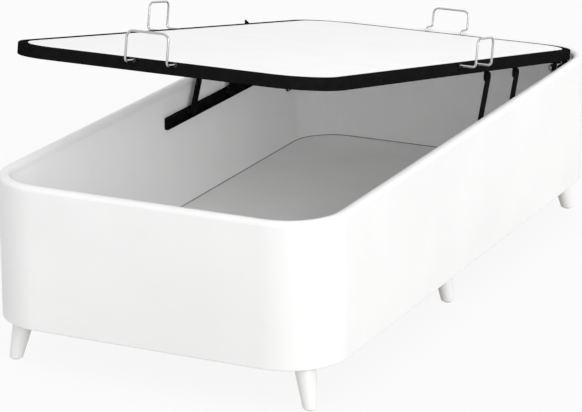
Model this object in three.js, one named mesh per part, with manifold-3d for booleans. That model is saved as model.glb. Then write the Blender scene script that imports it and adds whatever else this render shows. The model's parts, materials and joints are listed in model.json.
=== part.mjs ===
// Divan bed base with a storage well and a hinged lid, in millimetres, +Z up.
// The origin is on the floor under the middle of the base. +Y points to the head end, +X to the right.
// The lid is modelled part-way open, as it stands on its gas springs.
import * as THREE from 'three';
import { mergeVertices } from 'three/addons/utils/BufferGeometryUtils.js';
import Module from 'manifold-3d';

const wasm = await Module();
wasm.setup();

// Clearances
const seat_gap = 0.3;
const running_gap = 1;
const pin_clearance = 0.3;
const cut_overrun = 2;

// Base: outer size and the layers of its wall, from the outside in
const body_width = 927;
const body_length = 1900;
const body_height = 366;
const corner_radius = 157;
const cover_thickness = 1.5;
const foam_thickness = 10.1;
const panel_thickness = 16;
const lining_thickness = 1.5;
const lining_floor_gap = 2.5;
const floor_thickness = 9.7;
const rim_radius = 14;
const base_edge_radius = 4;
const turn_under_width = 56;
const cover_fold_depth = 6;

// Legs
const leg_height = 109;
const leg_setback_x = 60;
const foot_leg_setback = 71;
const head_leg_setback = 61;
const middle_leg_shift = 24;
const leg_top_radius = 27.5;
const leg_foot_radius = 17.5;
const leg_foot_bevel = 3;
const leg_splay_x = 20;
const leg_splay_y = 13;
const leg_plate_radius = 33;
const leg_plate_thickness = 3;

// Lid: a steel tube ring with a flush board
const lid_side_gap = 3;
const lid_foot_gap = 3;
const lid_head_gap = 11;
const lid_corner_radius = 140;
const lid_sink = 17;
const tube_width = 24;
const tube_height = 30;
const tube_wall = 1.5;
const tube_bevel = 2;
const vent_radius = 4;
const vent_offset = 106;
const lid_board_thickness = 12;
const cross_bar_width = 24;
const cross_bar_spacing = 450;
const lid_tilt = THREE.MathUtils.degToRad(10.5);

// Mattress retainers: bent wire hoops around the lid
const wire_radius = 3;
const retainer_width = 110;
const retainer_standoff = 43;
const head_retainer_standoff = 33;
const retainer_top = 98;
const retainer_socket_height = 25;
const head_retainer_rod_height = 43;
const retainer_socket_depth = 8;
const retainer_bend_radius = 10;
const retainer_top_bend_radius = 16;

// Lid hinge: a pinned ear on an offset bracket at each side, near the head end
const hinge_setback = 86;
const pivot_drop = 17;
const pivot_radius = 4;
const pin_head_radius = 7;
const pin_head_thickness = 2.5;
const plate_thickness = 5;
const hinge_eye_radius = 13;
const hinge_ear_setback = 24.5;
const hinge_flange_length = 66;
const hinge_flange_height = 76;
const hinge_flange_thickness = 4;
const hinge_flange_drop = 24;
const hinge_step_setback = 62;

// Lifting arms: each is pinned under the lid and slides in a rail on the inner wall
const rail_height = 33;
const rail_depth = 12;
const rail_wall = 2;
const rail_drop = 91.5;
const rail_reach = 859;
const rail_end_gap = 16;
const arm_width = 27;
const glide_radius = 5.5;
const glide_stud_radius = 3;
const glide_rest_rise = 1.8;
const front_arm_reach = 648;
const front_arm_lean = THREE.MathUtils.degToRad(26);
const rear_arm_reach = 434;
const rear_arm_lean = THREE.MathUtils.degToRad(24.5);

// Gas springs
const gas_foot_setback = 69;
const gas_foot_drop = 131;
const gas_reach = 130;
const gas_axis_setback = 24.5;
const gas_cylinder_radius = 9.5;
const gas_cylinder_length = 86;
const gas_bore_radius = 6;
const gas_bottom_wall = 5;
const gas_neck_radius = 4;
const gas_rod_radius = 4;
const gas_rod_length = 110;
const gas_eye_radius = 9;
const gas_eye_width = 8;
const gas_collar_radius = 7;
const gas_bracket_width = 50;
const gas_bracket_height = 44;
const gas_bracket_thickness = 4;
const gas_lug_flange_length = 40;
const gas_lug_flange_thickness = 4;

// Facets
const corner_steps = 10;
const edge_steps = 3;
const hidden_edge_steps = 2;
const round_sides = 20;
const pin_sides = 12;
const wire_sides = 6;
const wire_steps = 36;

// Places that follow from the sizes above, measured from the top of the rim
const wall_thickness =
  cover_thickness + foam_thickness + panel_thickness + lining_thickness + 3 * seat_gap;
const foam_inset = cover_thickness + seat_gap;
const panel_inset = foam_inset + foam_thickness + seat_gap;
const lining_inset = wall_thickness - lining_thickness;
const well_half_width = body_width / 2 - wall_thickness;
const well_half_length = body_length / 2 - wall_thickness;
const floor_bottom = -body_height + cover_thickness + seat_gap;
const floor_top = floor_bottom + floor_thickness;
const fold_bottom = -(rim_radius + cover_fold_depth);
const rim_height = leg_height + body_height;
const hinge_y = well_half_length - hinge_setback;
const hinge_z = -(lid_sink + pivot_drop);
const rail_front = hinge_y - rail_reach;
const rail_back = hinge_y - hinge_step_setback - hinge_flange_length - rail_end_gap;

const sides = [
  { name: 'left', sign: -1 },
  { name: 'right', sign: 1 },
];
const base_outline = {
  half_width: body_width / 2,
  foot_y: -body_length / 2,
  head_y: body_length / 2,
  radius: corner_radius,
};
// The lid is drawn closed, measured from the hinge axis.
const lid_outline = {
  half_width: well_half_width - lid_side_gap,
  foot_y: -well_half_length + lid_foot_gap - hinge_y,
  head_y: well_half_length - lid_head_gap - hinge_y,
  radius: lid_corner_radius,
};
const lid_middle_y = (lid_outline.foot_y + lid_outline.head_y) / 2;
const tube_bottom = pivot_drop;
const tube_top = tube_bottom + tube_height;

// Finishes
const finishes = {
  upholstery: { color: 0xf4f4f2, roughness: 0.5, metalness: 0 },
  foam: { color: 0xe9e3cf, roughness: 0.95, metalness: 0 },
  board: { color: 0xb98f5f, roughness: 0.8, metalness: 0 },
  lining: { color: 0xdedede, roughness: 0.8, metalness: 0 },
  white_board: { color: 0xf6f6f6, roughness: 0.4, metalness: 0 },
  leg: { color: 0xf2f2f0, roughness: 0.35, metalness: 0 },
  black_steel: { color: 0x101010, roughness: 0.35, metalness: 0.4 },
  chrome: { color: 0xdcdcdc, roughness: 0.15, metalness: 1 },
  zinc: { color: 0xb4b4b0, roughness: 0.4, metalness: 0.9 },
  nylon: { color: 0x2a2a2a, roughness: 0.6, metalness: 0 },
};

function piece(name, geometry, finish) {
  const mesh = new THREE.Mesh(geometry, new THREE.MeshStandardMaterial(finishes[finish]));
  mesh.name = name;
  return mesh;
}

// Boolean work on closed geometries
function toSolid(geometry) {
  const bare = geometry.clone();
  bare.deleteAttribute('normal');
  bare.deleteAttribute('uv');
  const merged = mergeVertices(bare);
  return new wasm.Manifold(new wasm.Mesh({
    numProp: 3,
    vertProperties: merged.attributes.position.array,
    triVerts: new Uint32Array(merged.index.array),
  }));
}

function toGeometry(solid) {
  const result = solid.getMesh();
  const geometry = new THREE.BufferGeometry();
  geometry.setAttribute('position', new THREE.BufferAttribute(result.vertProperties, 3));
  geometry.setIndex(new THREE.BufferAttribute(result.triVerts, 1));
  return geometry;
}

function join(...geometries) {
  return toGeometry(geometries.map(toSolid).reduce((whole, next) => whole.add(next)));
}

function cut(geometry, ...tools) {
  return toGeometry(tools.map(toSolid).reduce((whole, tool) => whole.subtract(tool), toSolid(geometry)));
}

// Points along an arc in a plane, from one angle to another
function arc(centreX, centreY, radius, from, to, steps) {
  const points = [];
  for (let step = 0; step <= steps; step += 1) {
    const angle = from + ((to - from) * step) / steps;
    points.push(new THREE.Vector2(centreX + radius * Math.cos(angle), centreY + radius * Math.sin(angle)));
  }
  return points;
}

// A rectangle with rounded corners, drawn in by an inset that keeps the corners' centres
function outlinePoints(outline, inset) {
  const centreX = outline.half_width - outline.radius;
  const head = outline.head_y - outline.radius;
  const foot = outline.foot_y + outline.radius;
  const centres = [[centreX, head], [-centreX, head], [-centreX, foot], [centreX, foot]];
  return centres.flatMap(([x, y], corner) => {
    const start = (corner * Math.PI) / 2;
    return arc(x, y, outline.radius - inset, start, start + Math.PI / 2, corner_steps);
  });
}

// A closed section of (inset, height) points carried round an outline:
// up the outer side, inwards over the top, down the inner side
function ringGeometry(outline, section) {
  const positions = [];
  const triangles = [];
  const rows = section.map((point) => outlinePoints(outline, point.x));
  const count = rows[0].length;
  rows.forEach((row, index) => row.forEach((point) => positions.push(point.x, point.y, section[index].y)));
  for (let row = 0; row < rows.length; row += 1) {
    const next = (row + 1) % rows.length;
    for (let column = 0; column < count; column += 1) {
      const beside = (column + 1) % count;
      const a = row * count + column;
      const b = row * count + beside;
      const c = next * count + beside;
      const d = next * count + column;
      triangles.push(a, b, c, a, c, d);
    }
  }
  const geometry = new THREE.BufferGeometry();
  geometry.setAttribute('position', new THREE.Float32BufferAttribute(positions, 3));
  geometry.setIndex(triangles);
  return geometry;
}

function rectangleSection(outer, inner, bottom, top) {
  return [[outer, bottom], [outer, top], [inner, top], [inner, bottom]].map(([x, y]) => new THREE.Vector2(x, y));
}

function bevelledSection(outer, inner, bottom, top, bevel) {
  return [
    [outer, bottom + bevel], [outer, top - bevel], [outer + bevel, top], [inner - bevel, top],
    [inner, top - bevel], [inner, bottom + bevel], [inner - bevel, bottom], [outer + bevel, bottom],
  ].map(([x, y]) => new THREE.Vector2(x, y));
}

// A flat slab between two heights, from an outline in plan
function slabGeometry(points, bottom, top) {
  const geometry = new THREE.ExtrudeGeometry(new THREE.Shape(points), { depth: top - bottom, bevelEnabled: false });
  return geometry.translate(0, 0, bottom);
}

function blockGeometry(minX, maxX, minY, maxY, minZ, maxZ) {
  const geometry = new THREE.BoxGeometry(maxX - minX, maxY - minY, maxZ - minZ);
  return geometry.translate((minX + maxX) / 2, (minY + maxY) / 2, (minZ + maxZ) / 2);
}

// The two ends, in order, of a stretch across one side of the bed
function across(side, near, far) {
  const ends = [side.sign * near, side.sign * far];
  return ends.sort((first, second) => first - second);
}

// A plate in the side plane: its outline is given in (y, z) and it spans a stretch of x
function sidePlateGeometry(points, [minX, maxX]) {
  const geometry = new THREE.ExtrudeGeometry(new THREE.Shape(points), { depth: maxX - minX, bevelEnabled: false });
  const turn = new THREE.Matrix4().makeBasis(
    new THREE.Vector3(0, 1, 0), new THREE.Vector3(0, 0, 1), new THREE.Vector3(1, 0, 0));
  return geometry.applyMatrix4(turn).translate(minX, 0, 0);
}

function pinGeometry([minX, maxX], radius, y, z, pinSides = pin_sides) {
  return sidePlateGeometry(arc(y, z, radius, 0, 2 * Math.PI, pinSides).slice(1), [minX, maxX]);
}

// A strap with round ends that hangs from a pivot at the origin
function strapPoints(radius, length) {
  return [
    ...arc(0, 0, radius, 0, Math.PI, pin_sides / 2),
    ...arc(0, -length, radius, Math.PI, 2 * Math.PI, pin_sides / 2),
  ];
}

// A hanging eye: round at the pivot, straight up to a flat top
function lugPoints(y, pivotZ, radius, top) {
  return [
    new THREE.Vector2(y + radius, top),
    new THREE.Vector2(y - radius, top),
    ...arc(y, pivotZ, radius, Math.PI, 2 * Math.PI, pin_sides / 2),
  ];
}

// Base: boards stand on the floor board and are padded, covered and lined
function sidePanel(side) {
  const outer = body_width / 2 - panel_inset;
  const [minX, maxX] = across(side, outer - panel_thickness, outer);
  const end = body_length / 2 - corner_radius - seat_gap;
  return blockGeometry(minX, maxX, -end, end, floor_top + seat_gap, -rim_radius - seat_gap);
}

function endPanel(sign) {
  const outer = body_length / 2 - panel_inset;
  const near = Math.min(sign * (outer - panel_thickness), sign * outer);
  const end = body_width / 2 - corner_radius - seat_gap;
  return blockGeometry(-end, end, near, near + panel_thickness, floor_top + seat_gap, -rim_radius - seat_gap);
}

function cornerPanel() {
  const radius = corner_radius - panel_inset;
  const points = [
    ...arc(0, 0, radius, 0, Math.PI / 2, corner_steps),
    ...arc(0, 0, radius - panel_thickness, Math.PI / 2, 0, corner_steps),
  ];
  return slabGeometry(points, floor_top + seat_gap, -rim_radius - seat_gap);
}

function addPanels(group) {
  for (const side of sides) group.add(piece(`side_panel_${side.name}`, sidePanel(side), 'board'));
  group.add(piece('foot_panel', endPanel(-1), 'board'));
  group.add(piece('head_panel', endPanel(1), 'board'));
  const names = ['head_right', 'head_left', 'foot_left', 'foot_right'];
  names.forEach((name, corner) => {
    const mesh = piece(`corner_panel_${name}`, cornerPanel(), 'board');
    const x = body_width / 2 - corner_radius;
    const y = body_length / 2 - corner_radius;
    mesh.position.set(name.endsWith('right') ? x : -x, name.startsWith('head') ? y : -y, 0);
    mesh.rotation.z = (corner * Math.PI) / 2;
    group.add(mesh);
  });
}

function foamSection() {
  const edge = rim_radius - foam_inset;
  const base_edge = base_edge_radius - foam_inset;
  const base_centre = -body_height + base_edge_radius;
  return [
    ...arc(base_edge_radius, base_centre, base_edge, 1.5 * Math.PI, Math.PI, hidden_edge_steps),
    ...arc(rim_radius, -rim_radius, edge, Math.PI, Math.PI / 2, hidden_edge_steps),
    ...arc(wall_thickness - rim_radius, -rim_radius, edge, Math.PI / 2, 0, hidden_edge_steps),
    new THREE.Vector2(foam_inset + foam_thickness, -rim_radius),
    new THREE.Vector2(foam_inset + foam_thickness, floor_bottom),
  ];
}

function coverSection() {
  const bottom = -body_height;
  const quarter = Math.PI / 2;
  const inner_edge = wall_thickness - rim_radius;
  const base_centre = bottom + base_edge_radius;
  return [
    new THREE.Vector2(turn_under_width, bottom),
    ...arc(base_edge_radius, base_centre, base_edge_radius, 3 * quarter, 2 * quarter, edge_steps),
    ...arc(rim_radius, -rim_radius, rim_radius, 2 * quarter, quarter, edge_steps),
    ...arc(inner_edge, -rim_radius, rim_radius, quarter, 0, edge_steps),
    new THREE.Vector2(wall_thickness, fold_bottom),
    new THREE.Vector2(wall_thickness - cover_thickness, fold_bottom),
    ...arc(inner_edge, -rim_radius, rim_radius - cover_thickness, 0, quarter, hidden_edge_steps),
    ...arc(rim_radius, -rim_radius, rim_radius - cover_thickness, quarter, 2 * quarter, hidden_edge_steps),
    ...arc(base_edge_radius, base_centre, base_edge_radius - cover_thickness, 2 * quarter, 3 * quarter,
      hidden_edge_steps),
    new THREE.Vector2(turn_under_width, bottom + cover_thickness),
  ];
}

function addSoftLayers(group) {
  const lining = rectangleSection(lining_inset, wall_thickness, floor_top + lining_floor_gap, fold_bottom - seat_gap);
  group.add(piece('base_foam', ringGeometry(base_outline, foamSection()), 'foam'));
  group.add(piece('base_cover', ringGeometry(base_outline, coverSection()), 'upholstery'));
  group.add(piece('inner_lining', ringGeometry(base_outline, lining), 'lining'));
}

function floorPanel() {
  return slabGeometry(outlinePoints(base_outline, panel_inset), floor_bottom, floor_top);
}

// Legs: a tapered turning, sheared so that its foot stands further out than its top
function legGeometry(splayX, splayY) {
  const height = leg_height - leg_plate_thickness - 2 * seat_gap;
  const profile = [
    new THREE.Vector2(0, 0),
    new THREE.Vector2(leg_foot_radius - leg_foot_bevel, 0),
    new THREE.Vector2(leg_foot_radius, leg_foot_bevel),
    new THREE.Vector2(leg_top_radius, height),
    new THREE.Vector2(0, height),
  ];
  const shear = new THREE.Matrix4().makeShear(0, 0, 0, 0, -splayX / height, -splayY / height);
  return new THREE.LatheGeometry(profile, round_sides).rotateX(Math.PI / 2).applyMatrix4(shear);
}

function addLegs(group) {
  const stations = [
    { name: 'foot', sign: -1, y: foot_leg_setback - body_length / 2 },
    { name: 'middle', sign: 0, y: -middle_leg_shift },
    { name: 'head', sign: 1, y: body_length / 2 - head_leg_setback },
  ];
  for (const side of sides) {
    for (const station of stations) {
      const x = side.sign * (body_width / 2 - leg_setback_x);
      const splayX = side.sign * leg_splay_x;
      const splayY = station.sign * leg_splay_y;
      const leg = piece(`leg_${station.name}_${side.name}`, legGeometry(splayX, splayY), 'leg');
      leg.position.set(x, station.y, -rim_height);
      const plate_circle = arc(0, 0, leg_plate_radius, 0, 2 * Math.PI, round_sides).slice(1);
      const plate_top = -body_height - seat_gap;
      const plate_geometry = slabGeometry(plate_circle, plate_top - leg_plate_thickness, plate_top);
      const plate = piece(`leg_plate_${station.name}_${side.name}`, plate_geometry, 'zinc');
      plate.position.set(x - splayX, station.y - splayY, 0);
      group.add(leg, plate);
    }
  }
}

// Fixed ironwork on the inner walls
function railGeometry(side) {
  const [minX, maxX] = across(side, well_half_width - rail_depth, well_half_width - seat_gap);
  const top = -rail_drop + rail_height / 2;
  const channel = across(side, well_half_width - rail_depth - cut_overrun, well_half_width - seat_gap - rail_wall);
  return cut(
    blockGeometry(minX, maxX, rail_front, rail_back, top - rail_height, top),
    blockGeometry(channel[0], channel[1], rail_front - cut_overrun, rail_back + cut_overrun,
      top - rail_height + rail_wall, top - rail_wall),
  );
}

function hingeBracketGeometry(side) {
  const face = well_half_width - seat_gap;
  const ear = across(side, well_half_width - hinge_ear_setback - plate_thickness, well_half_width - hinge_ear_setback);
  const step_y = hinge_y - hinge_step_setback;
  const flange = across(side, face - hinge_flange_thickness, face);
  const step = across(side, well_half_width - hinge_ear_setback - plate_thickness, face);
  const eye_bottom = hinge_z - hinge_eye_radius;
  const eye_top = hinge_z + hinge_eye_radius;
  const ear_points = [
    new THREE.Vector2(step_y - plate_thickness, eye_top),
    new THREE.Vector2(step_y - plate_thickness, eye_bottom),
    ...arc(hinge_y, hinge_z, hinge_eye_radius, -Math.PI / 2, Math.PI / 2, pin_sides / 2),
  ];
  const whole = join(
    blockGeometry(flange[0], flange[1], step_y - hinge_flange_length, step_y,
      -hinge_flange_drop - hinge_flange_height, -hinge_flange_drop),
    blockGeometry(step[0], step[1], step_y - plate_thickness, step_y, eye_bottom, -hinge_flange_drop),
    sidePlateGeometry(ear_points, ear),
  );
  const bore = [ear[0] - cut_overrun, ear[1] + cut_overrun];
  return cut(whole, pinGeometry(bore, pivot_radius + pin_clearance, hinge_y, hinge_z));
}

function hingePinGeometry(side) {
  const ear_outer = well_half_width - hinge_ear_setback;
  const lug_inner = ear_outer - 2 * plate_thickness - running_gap;
  const shank = across(side, lug_inner - seat_gap - pin_head_thickness, ear_outer + seat_gap + pin_head_thickness);
  const inner_head = across(side, lug_inner - seat_gap - pin_head_thickness, lug_inner - seat_gap);
  const outer_head = across(side, ear_outer + seat_gap, ear_outer + seat_gap + pin_head_thickness);
  return join(
    pinGeometry(shank, pivot_radius, hinge_y, hinge_z),
    pinGeometry(inner_head, pin_head_radius, hinge_y, hinge_z),
    pinGeometry(outer_head, pin_head_radius, hinge_y, hinge_z),
  );
}

// A stud with a collar and an end head that carries a gas spring's eye
function gasStudGeometry(side, outer, y, z) {
  const axis = well_half_width - gas_axis_setback;
  const inner_face = axis - gas_eye_width / 2 - seat_gap;
  const outer_face = axis + gas_eye_width / 2 + seat_gap;
  return join(
    pinGeometry(across(side, inner_face - pin_head_thickness, outer), pivot_radius, y, z),
    pinGeometry(across(side, inner_face - pin_head_thickness, inner_face), pin_head_radius, y, z),
    pinGeometry(across(side, outer_face, outer), gas_collar_radius, y, z),
  );
}

function gasBracketGeometry(side) {
  const face = well_half_width - seat_gap;
  const y = hinge_y - gas_foot_setback;
  const z = hinge_z - gas_foot_drop;
  const [minX, maxX] = across(side, face - gas_bracket_thickness, face);
  return join(
    blockGeometry(minX, maxX, y - gas_bracket_width / 2, y + gas_bracket_width / 2,
      z - gas_bracket_height / 2, z + gas_bracket_height / 2),
    gasStudGeometry(side, face - gas_bracket_thickness / 2, y, z),
  );
}

function addIronwork(group) {
  for (const side of sides) {
    group.add(
      piece(`base_rail_${side.name}`, railGeometry(side), 'black_steel'),
      piece(`hinge_bracket_${side.name}`, hingeBracketGeometry(side), 'black_steel'),
      piece(`hinge_pin_${side.name}`, hingePinGeometry(side), 'zinc'),
      piece(`gas_bracket_${side.name}`, gasBracketGeometry(side), 'black_steel'),
    );
  }
}

// Lid ring: a hollow bevelled tube with vent holes, hinge eyes and wire sockets
function socketGeometry(station) {
  const sockets = [-retainer_width / 2, retainer_width / 2].map((offset) => {
    const hole = new THREE.CylinderGeometry(
      wire_radius + pin_clearance, wire_radius + pin_clearance, 2 * (tube_wall + cut_overrun), pin_sides);
    if (!station.over_tube) return hole.translate(offset, 0, tube_bottom + retainer_socket_height);
    return hole.rotateX(Math.PI / 2).translate(offset, -tube_width / 2, tube_top);
  });
  return sockets.map((hole) => hole.rotateZ(station.turn).translate(station.x, station.y, 0));
}

// Each hoop is drawn across x, standing out along +y, then turned to its side of the lid.
const retainer_stations = [
  { name: 'left', x: -lid_outline.half_width, y: lid_middle_y, turn: Math.PI / 2, over_tube: false },
  { name: 'right', x: lid_outline.half_width, y: lid_middle_y, turn: -Math.PI / 2, over_tube: false },
  { name: 'foot', x: 0, y: lid_outline.foot_y, turn: Math.PI, over_tube: false },
  { name: 'head', x: 0, y: lid_outline.head_y, turn: 0, over_tube: true },
];

function lidFrameGeometry() {
  const shell = ringGeometry(lid_outline, bevelledSection(0, tube_width, tube_bottom, tube_top, tube_bevel));
  const hollow = ringGeometry(lid_outline,
    rectangleSection(tube_wall, tube_width - tube_wall, tube_bottom + tube_wall, tube_top - tube_wall));
  const vents = [lid_outline.foot_y + tube_width / 2, lid_outline.head_y - tube_width / 2].map((y) => {
    const vent = new THREE.CylinderGeometry(vent_radius, vent_radius, 2 * (tube_wall + cut_overrun), pin_sides);
    return vent.rotateX(Math.PI / 2).translate(vent_offset, y, tube_bottom);
  });
  const sockets = retainer_stations.flatMap(socketGeometry);
  const tube = cut(shell, hollow, ...vents, ...sockets);
  const eyes = sides.map((side) => {
    const inner = well_half_width - hinge_ear_setback - 2 * plate_thickness - running_gap;
    const eye = lugPoints(0, 0, hinge_eye_radius, tube_bottom + tube_wall / 2);
    return sidePlateGeometry(eye, across(side, inner, inner + plate_thickness));
  });
  const bores = sides.map((side) => {
    const inner = well_half_width - hinge_ear_setback - 2 * plate_thickness - running_gap;
    const span = across(side, inner - cut_overrun, inner + plate_thickness + cut_overrun);
    return pinGeometry(span, pivot_radius + pin_clearance, 0, 0);
  });
  return cut(join(tube, ...eyes), ...bores);
}

function lidBoard() {
  return slabGeometry(outlinePoints(lid_outline, tube_width + seat_gap), tube_top - lid_board_thickness, tube_top);
}

function crossBarGeometry() {
  const end = lid_outline.half_width - tube_width - seat_gap;
  const top = tube_top - lid_board_thickness - seat_gap;
  const outer = blockGeometry(-end, end, -cross_bar_width / 2, cross_bar_width / 2, tube_bottom, top);
  const inner = blockGeometry(-end - cut_overrun, end + cut_overrun,
    -cross_bar_width / 2 + tube_wall, cross_bar_width / 2 - tube_wall, tube_bottom + tube_wall, top - tube_wall);
  return cut(outer, inner);
}

// A path of straight stretches with rounded bends
function bentPath(corners) {
  const path = new THREE.CurvePath();
  let start = corners[0].at;
  corners.slice(1).forEach((corner, index) => {
    const after = corners[index + 2];
    if (!after) {
      path.add(new THREE.LineCurve3(start, corner.at));
      return;
    }
    const before = corner.at.clone().sub(start).normalize();
    const beyond = after.at.clone().sub(corner.at).normalize();
    const bend_start = corner.at.clone().addScaledVector(before, -corner.bend);
    const bend_end = corner.at.clone().addScaledVector(beyond, corner.bend);
    path.add(new THREE.LineCurve3(start, bend_start));
    path.add(new THREE.QuadraticBezierCurve3(bend_start, corner.at, bend_end));
    start = bend_end;
  });
  return path;
}

function retainerGeometry(station) {
  const half = retainer_width / 2;
  const rod_z = tube_bottom + (station.over_tube ? head_retainer_rod_height : retainer_socket_height);
  const top_z = tube_bottom + retainer_top;
  const standoff = station.over_tube ? head_retainer_standoff : retainer_standoff;
  const inner_y = station.over_tube ? -tube_width / 2 : -retainer_socket_depth;
  const leg = [
    { at: new THREE.Vector3(half, inner_y, rod_z), bend: retainer_bend_radius },
    { at: new THREE.Vector3(half, standoff, rod_z), bend: retainer_bend_radius },
    { at: new THREE.Vector3(half, standoff, top_z), bend: retainer_top_bend_radius },
  ];
  if (station.over_tube) {
    leg.unshift({ at: new THREE.Vector3(half, inner_y, tube_top - retainer_socket_depth), bend: 0 });
  }
  const other_leg = leg.map(({ at, bend }) => ({ at: new THREE.Vector3(-at.x, at.y, at.z), bend })).reverse();
  const section = arc(0, 0, wire_radius, 0, 2 * Math.PI, wire_sides).slice(1);
  return new THREE.ExtrudeGeometry(new THREE.Shape(section), {
    steps: wire_steps,
    bevelEnabled: false,
    extrudePath: bentPath([...leg, ...other_leg]),
  });
}

function addLidFrame(group) {
  group.add(piece('lid_frame', lidFrameGeometry(), 'black_steel'));
  group.add(piece('lid_board', lidBoard(), 'white_board'));
  ['foot', 'middle', 'head'].forEach((name, index) => {
    const bar = piece(`lid_cross_bar_${name}`, crossBarGeometry(), 'black_steel');
    bar.position.y = lid_middle_y + (index - 1) * cross_bar_spacing;
    group.add(bar);
  });
  for (const station of retainer_stations) {
    const hoop = piece(`mattress_retainer_${station.name}`, retainerGeometry(station), 'chrome');
    hoop.position.set(station.x, station.y, 0);
    hoop.rotation.z = station.turn;
    group.add(hoop);
  }
}

// Arms: a pinned lug under the tube, a strap and a nylon glide in the rail
const arm_outer = well_half_width - rail_depth - running_gap;
const arm_inner = arm_outer - plate_thickness;
const lug_outer = arm_inner - running_gap;

function armLugGeometry(side) {
  const lug = sidePlateGeometry(
    lugPoints(0, 0, arm_width / 2, pivot_drop - seat_gap), across(side, lug_outer - plate_thickness, lug_outer));
  const stud_end = arm_outer + seat_gap + pin_head_thickness;
  return join(
    lug,
    pinGeometry(across(side, lug_outer - plate_thickness / 2, stud_end), pivot_radius, 0, 0),
    pinGeometry(across(side, arm_outer + seat_gap, stud_end), pin_head_radius, 0, 0),
  );
}

function glideSpan() {
  const web_face = well_half_width - seat_gap - rail_wall;
  return [arm_outer + running_gap, web_face - running_gap];
}

function armGeometry(side, length) {
  const strap = sidePlateGeometry(strapPoints(arm_width / 2, length), across(side, arm_inner, arm_outer));
  const stud = pinGeometry(
    across(side, arm_inner + plate_thickness / 2, glideSpan()[1]), glide_stud_radius, 0, -length);
  const bore = pinGeometry(
    across(side, arm_inner - cut_overrun, arm_outer + cut_overrun), pivot_radius + pin_clearance, 0, 0);
  return cut(join(strap, stud), bore);
}

function glideGeometry(side, length) {
  const [near, far] = glideSpan();
  return cut(
    pinGeometry(across(side, near, far), glide_radius, 0, -length),
    pinGeometry(across(side, near - cut_overrun, far + cut_overrun), glide_stud_radius + pin_clearance, 0, -length),
  );
}

const arm_placings = [
  { name: 'front', reach: front_arm_reach, lean: front_arm_lean },
  { name: 'rear', reach: rear_arm_reach, lean: rear_arm_lean },
];

function armLength(placing) {
  const rise = placing.reach * Math.sin(lid_tilt) + hinge_z + rail_drop - glide_rest_rise;
  return rise / Math.cos(placing.lean);
}

function addArms(group) {
  for (const side of sides) {
    for (const placing of arm_placings) {
      const tag = `${placing.name}_${side.name}`;
      const length = armLength(placing);
      const lug = piece(`arm_lug_${tag}`, armLugGeometry(side), 'black_steel');
      lug.position.y = -placing.reach;
      const swing = new THREE.Group();
      swing.position.y = -placing.reach;
      swing.rotation.x = lid_tilt - placing.lean;
      swing.add(piece(`lift_arm_${tag}`, armGeometry(side, length), 'black_steel'));
      swing.add(piece(`arm_glide_${tag}`, glideGeometry(side, length), 'nylon'));
      group.add(lug, swing);
    }
  }
}

// Gas springs: a cylinder that turns on the wall's stud, and a rod that turns on the lid's stud
function gasPivots() {
  const foot = new THREE.Vector2(hinge_y - gas_foot_setback, hinge_z - gas_foot_drop);
  const top = new THREE.Vector2(hinge_y - gas_reach * Math.cos(lid_tilt), hinge_z + gas_reach * Math.sin(lid_tilt));
  const line = top.clone().sub(foot);
  return { foot, top, lean: Math.atan2(-line.x, line.y) };
}

function gasEyeGeometry(side, radius) {
  const axis = well_half_width - gas_axis_setback;
  return pinGeometry(across(side, axis - gas_eye_width / 2, axis + gas_eye_width / 2), radius, 0, 0, round_sides);
}

function gasBarGeometry(side, radius, from, to) {
  const bar = new THREE.CylinderGeometry(radius, radius, to - from, round_sides);
  const x = side.sign * (well_half_width - gas_axis_setback);
  return bar.rotateX(Math.PI / 2).translate(x, 0, (from + to) / 2);
}

function gasStudBore(side) {
  const axis = well_half_width - gas_axis_setback;
  const span = across(side, axis - gas_eye_width / 2 - cut_overrun, axis + gas_eye_width / 2 + cut_overrun);
  return pinGeometry(span, pivot_radius + pin_clearance, 0, 0);
}

function gasCylinderGeometry(side) {
  const start = gas_eye_radius + gas_bottom_wall;
  const end = start + gas_cylinder_length;
  const whole = join(
    gasEyeGeometry(side, gas_eye_radius),
    gasBarGeometry(side, gas_neck_radius, gas_eye_radius / 2, start + gas_bottom_wall / 2),
    gasBarGeometry(side, gas_cylinder_radius, start, end),
  );
  const bore = gasBarGeometry(side, gas_bore_radius, start + gas_bottom_wall, end + cut_overrun);
  return cut(whole, bore, gasStudBore(side));
}

function gasRodGeometry(side) {
  const whole = join(
    gasEyeGeometry(side, gas_eye_radius),
    gasBarGeometry(side, gas_rod_radius, -gas_rod_length, -gas_eye_radius / 2),
  );
  return cut(whole, gasStudBore(side));
}

function gasLugGeometry(side) {
  const plate = across(side, lug_outer + running_gap, lug_outer + running_gap + plate_thickness);
  const tube = across(side, lid_outline.half_width - tube_width, lid_outline.half_width);
  const flange_top = pivot_drop - seat_gap;
  const flange_bottom = flange_top - gas_lug_flange_thickness;
  return join(
    sidePlateGeometry(lugPoints(0, 0, hinge_eye_radius, flange_top), plate),
    blockGeometry(tube[0], tube[1], -gas_lug_flange_length / 2, gas_lug_flange_length / 2, flange_bottom, flange_top),
    gasStudGeometry(side, lug_outer + running_gap + plate_thickness / 2, 0, 0),
  );
}

function addGasSprings(base, lid) {
  const { foot, lean } = gasPivots();
  for (const side of sides) {
    const cylinder = piece(`gas_cylinder_${side.name}`, gasCylinderGeometry(side), 'black_steel');
    cylinder.position.set(0, foot.x, foot.y);
    cylinder.rotation.x = lean;
    base.add(cylinder);
    const lug = piece(`gas_lug_${side.name}`, gasLugGeometry(side), 'black_steel');
    lug.position.y = -gas_reach;
    const rod = piece(`gas_rod_${side.name}`, gasRodGeometry(side), 'chrome');
    rod.position.y = -gas_reach;
    rod.rotation.x = lean + lid_tilt;
    lid.add(lug, rod);
  }
}

const group = new THREE.Group();
const base = new THREE.Group();
base.position.z = rim_height;
const lid = new THREE.Group();
lid.position.set(0, hinge_y, hinge_z);
lid.rotation.x = -lid_tilt;
base.add(lid);
group.add(base);

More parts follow.
